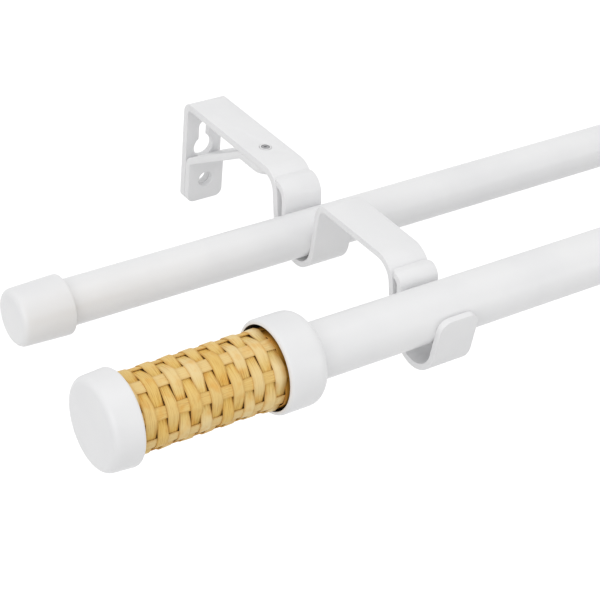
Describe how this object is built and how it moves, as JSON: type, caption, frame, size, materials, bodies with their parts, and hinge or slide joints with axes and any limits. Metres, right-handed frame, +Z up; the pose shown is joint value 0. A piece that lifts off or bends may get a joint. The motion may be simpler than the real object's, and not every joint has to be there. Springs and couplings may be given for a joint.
{
  "type": "double curtain pole",
  "caption": "Double curtain pole on bent-strip wall brackets: a front rod with woven bamboo finials and a rear rod with plain end caps.",
  "frame": {"origin": "on the wall plane, midway between the lower screw holes of the brackets", "axes": "+X along the rods, +Y into the wall, so -Y is into the room, +Z up"},
  "size_m": [1.2248, 0.1626, 0.0485],
  "materials": {
    "white_coat": "satin white powder coat",
    "screw_steel": "satin",
    "bamboo": "satin, natural strips",
    "core_wood": "matt, dark"
  },
  "bodies": {
    "root": {"wall_bracket_left": "white_coat", "wall_bracket_right": "white_coat", "brace_left": "white_coat", "brace_right": "white_coat", "brace_screw_left": "screw_steel", "brace_screw_right": "screw_steel", "rear_holder_left": "white_coat", "rear_holder_right": "white_coat", "front_holder_left": "white_coat", "front_holder_right": "white_coat", "rear_end_cap_left": "white_coat", "rear_end_cap_right": "white_coat", "finial_collar_left": "white_coat", "finial_collar_right": "white_coat", "finial_core_left": "core_wood", "finial_core_right": "core_wood", "finial_cap_left": "white_coat", "finial_cap_right": "white_coat", "woven_sleeve_left": "bamboo", "woven_sleeve_right": "bamboo", "front_tube": "white_coat", "rear_tube": "white_coat"}
  },
  "joints": []
}
